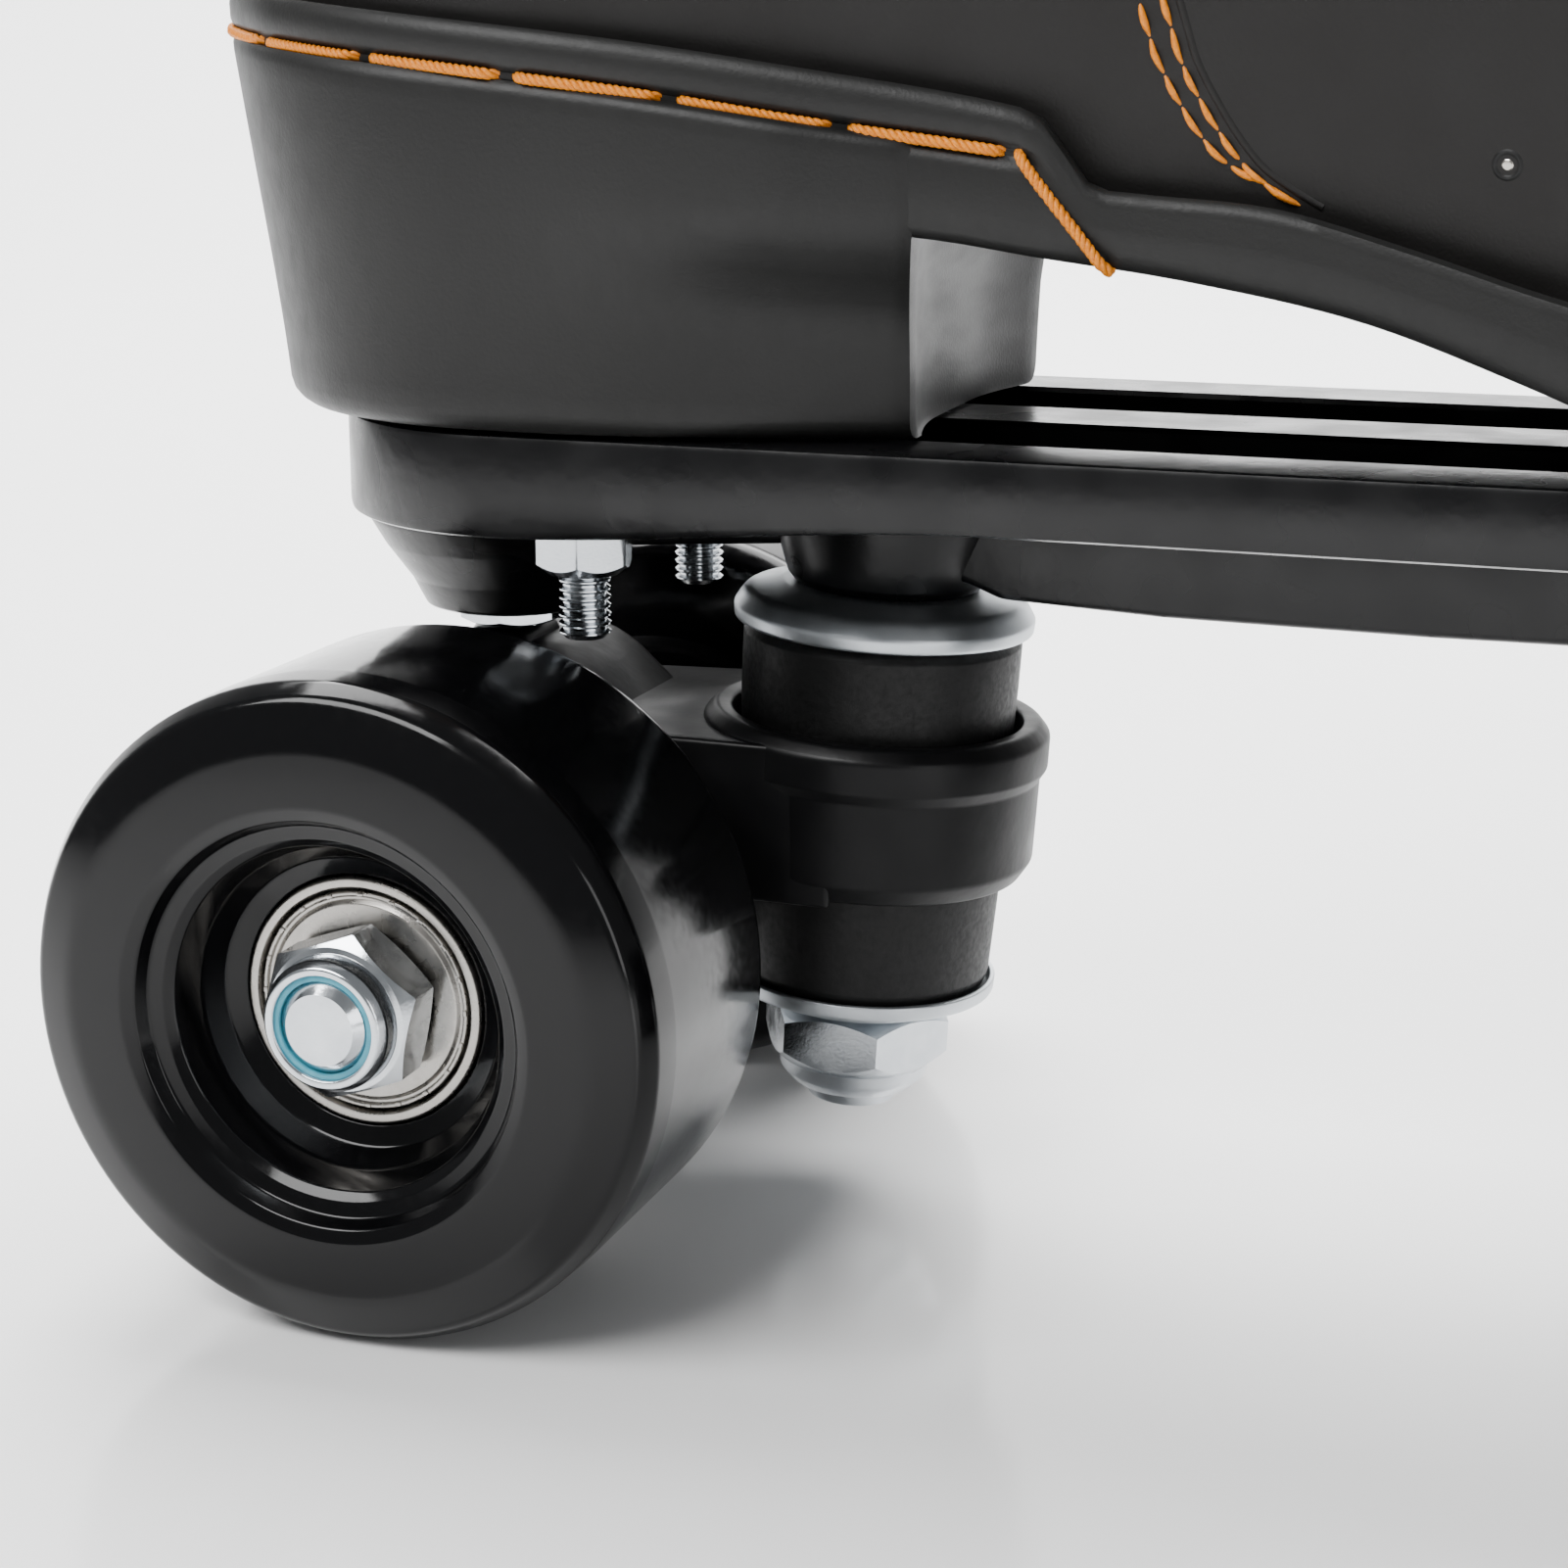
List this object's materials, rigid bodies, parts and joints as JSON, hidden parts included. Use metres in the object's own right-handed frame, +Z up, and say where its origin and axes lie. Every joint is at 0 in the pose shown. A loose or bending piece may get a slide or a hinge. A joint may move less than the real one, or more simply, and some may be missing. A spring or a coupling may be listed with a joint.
{
  "type": "quad roller skate",
  "caption": "High black boot with a heeled sole on a cast plate, cushioned steering trucks with wheels on ball bearings, and an adjustable toe stop.",
  "frame": {"origin": "on the floor under the centre of the skate's overall box, between the trucks", "axes": "+X toward the toe, +Y to the wearer's left, +Z up; the floor is z = 0"},
  "size_m": [0.275, 0.108, 0.2519],
  "materials": {
    "sole_rubber": "satin",
    "boot_leather": "matte",
    "lining_fabric": "matte",
    "cast_alloy": "gloss black paint",
    "wheel_urethane": "gloss",
    "cushion_rubber": "satin",
    "zinc_plate": "bright zinc",
    "bearing_steel": "ground"
  },
  "bodies": {
    "boot_and_plate": {"outsole": "sole_rubber", "insole": "lining_fabric", "boot_upper": "boot_leather", "tongue": "boot_leather", "collar_padding": "lining_fabric", "baseplate": "cast_alloy", "rear_inboard_left_mounting_bolt": "zinc_plate", "rear_inboard_right_mounting_bolt": "zinc_plate", "front_inboard_right_mounting_bolt": "zinc_plate", "front_inboard_left_mounting_bolt": "zinc_plate", "front_outboard_right_mounting_bolt": "zinc_plate", "front_outboard_left_mounting_bolt": "zinc_plate", "rear_kingpin": "zinc_plate", "rear_upper_cup_washer": "zinc_plate", "rear_upper_cushion": "cushion_rubber", "rear_lower_cushion": "cushion_rubber", "rear_lower_cup_washer": "zinc_plate", "rear_kingpin_nut": "zinc_plate", "rear_pivot_cup": "cushion_rubber", "front_kingpin": "zinc_plate", "front_upper_cup_washer": "zinc_plate", "front_upper_cushion": "cushion_rubber", "front_lower_cushion": "cushion_rubber", "front_lower_cup_washer": "zinc_plate", "front_kingpin_nut": "zinc_plate", "front_pivot_cup": "cushion_rubber", "toe_stop_lock_nut": "zinc_plate"},
    "rear_truck": {"rear_hanger": "cast_alloy", "rear_axle": "bearing_steel", "rear_pivot_pin": "zinc_plate", "rear_pivot_lock_nut": "zinc_plate", "rear_left_bearing_spacer": "bearing_steel", "rear_left_axle_nut": "zinc_plate", "rear_right_bearing_spacer": "bearing_steel", "rear_right_axle_nut": "zinc_plate"},
    "front_truck": {"front_hanger": "cast_alloy", "front_axle": "bearing_steel", "front_pivot_pin": "zinc_plate", "front_pivot_lock_nut": "zinc_plate", "front_right_bearing_spacer": "bearing_steel", "front_right_axle_nut": "zinc_plate", "front_left_bearing_spacer": "bearing_steel", "front_left_axle_nut": "zinc_plate"},
    "toe_stop": {"toe_stop_pad": "sole_rubber", "toe_stop_stem": "zinc_plate"},
    "rear_left_wheel_set": {"rear_left_wheel": "wheel_urethane", "rear_left_outer_bearing": "bearing_steel", "rear_left_inner_bearing": "bearing_steel"},
    "rear_right_wheel_set": {"rear_right_wheel": "wheel_urethane", "rear_right_outer_bearing": "bearing_steel", "rear_right_inner_bearing": "bearing_steel"},
    "front_right_wheel_set": {"front_right_wheel": "wheel_urethane", "front_right_outer_bearing": "bearing_steel", "front_right_inner_bearing": "bearing_steel"},
    "front_left_wheel_set": {"front_left_wheel": "wheel_urethane", "front_left_outer_bearing": "bearing_steel", "front_left_inner_bearing": "bearing_steel"}
  },
  "joints": [
    {"name": "rear_truck_steer", "type": "hinge", "parent": "boot_and_plate", "child": "rear_truck", "pos_m": [-0.1135, 0, 0.0605], "axis": [0.8704, 0, -0.4924], "range_deg": [-8, 8], "stiffness_Nm_per_rad": 15, "deforming": ["rear_upper_cushion", "rear_lower_cushion"]},
    {"name": "front_truck_steer", "type": "hinge", "parent": "boot_and_plate", "child": "front_truck", "pos_m": [0.0645, 0, 0.0605], "axis": [-0.8704, 0, -0.4924], "range_deg": [-8, 8], "stiffness_Nm_per_rad": 15, "deforming": ["front_upper_cushion", "front_lower_cushion"]},
    {"name": "rear_left_wheel_spin", "type": "hinge", "parent": "rear_truck", "child": "rear_left_wheel_set", "pos_m": [-0.107, 0.038, 0.029], "axis": [0, 1, 0], "continuous": true},
    {"name": "rear_right_wheel_spin", "type": "hinge", "parent": "rear_truck", "child": "rear_right_wheel_set", "pos_m": [-0.107, -0.038, 0.029], "axis": [0, 1, 0], "continuous": true},
    {"name": "front_left_wheel_spin", "type": "hinge", "parent": "front_truck", "child": "front_left_wheel_set", "pos_m": [0.058, 0.038, 0.029], "axis": [0, 1, 0], "continuous": true},
    {"name": "front_right_wheel_spin", "type": "hinge", "parent": "front_truck", "child": "front_right_wheel_set", "pos_m": [0.058, -0.038, 0.029], "axis": [0, 1, 0], "continuous": true},
    {"name": "toe_stop_height", "type": "slide", "parent": "boot_and_plate", "child": "toe_stop", "axis": [-0.4067, 0, 0.9136], "range_m": [-0.006, 0.0015]}
  ]
}
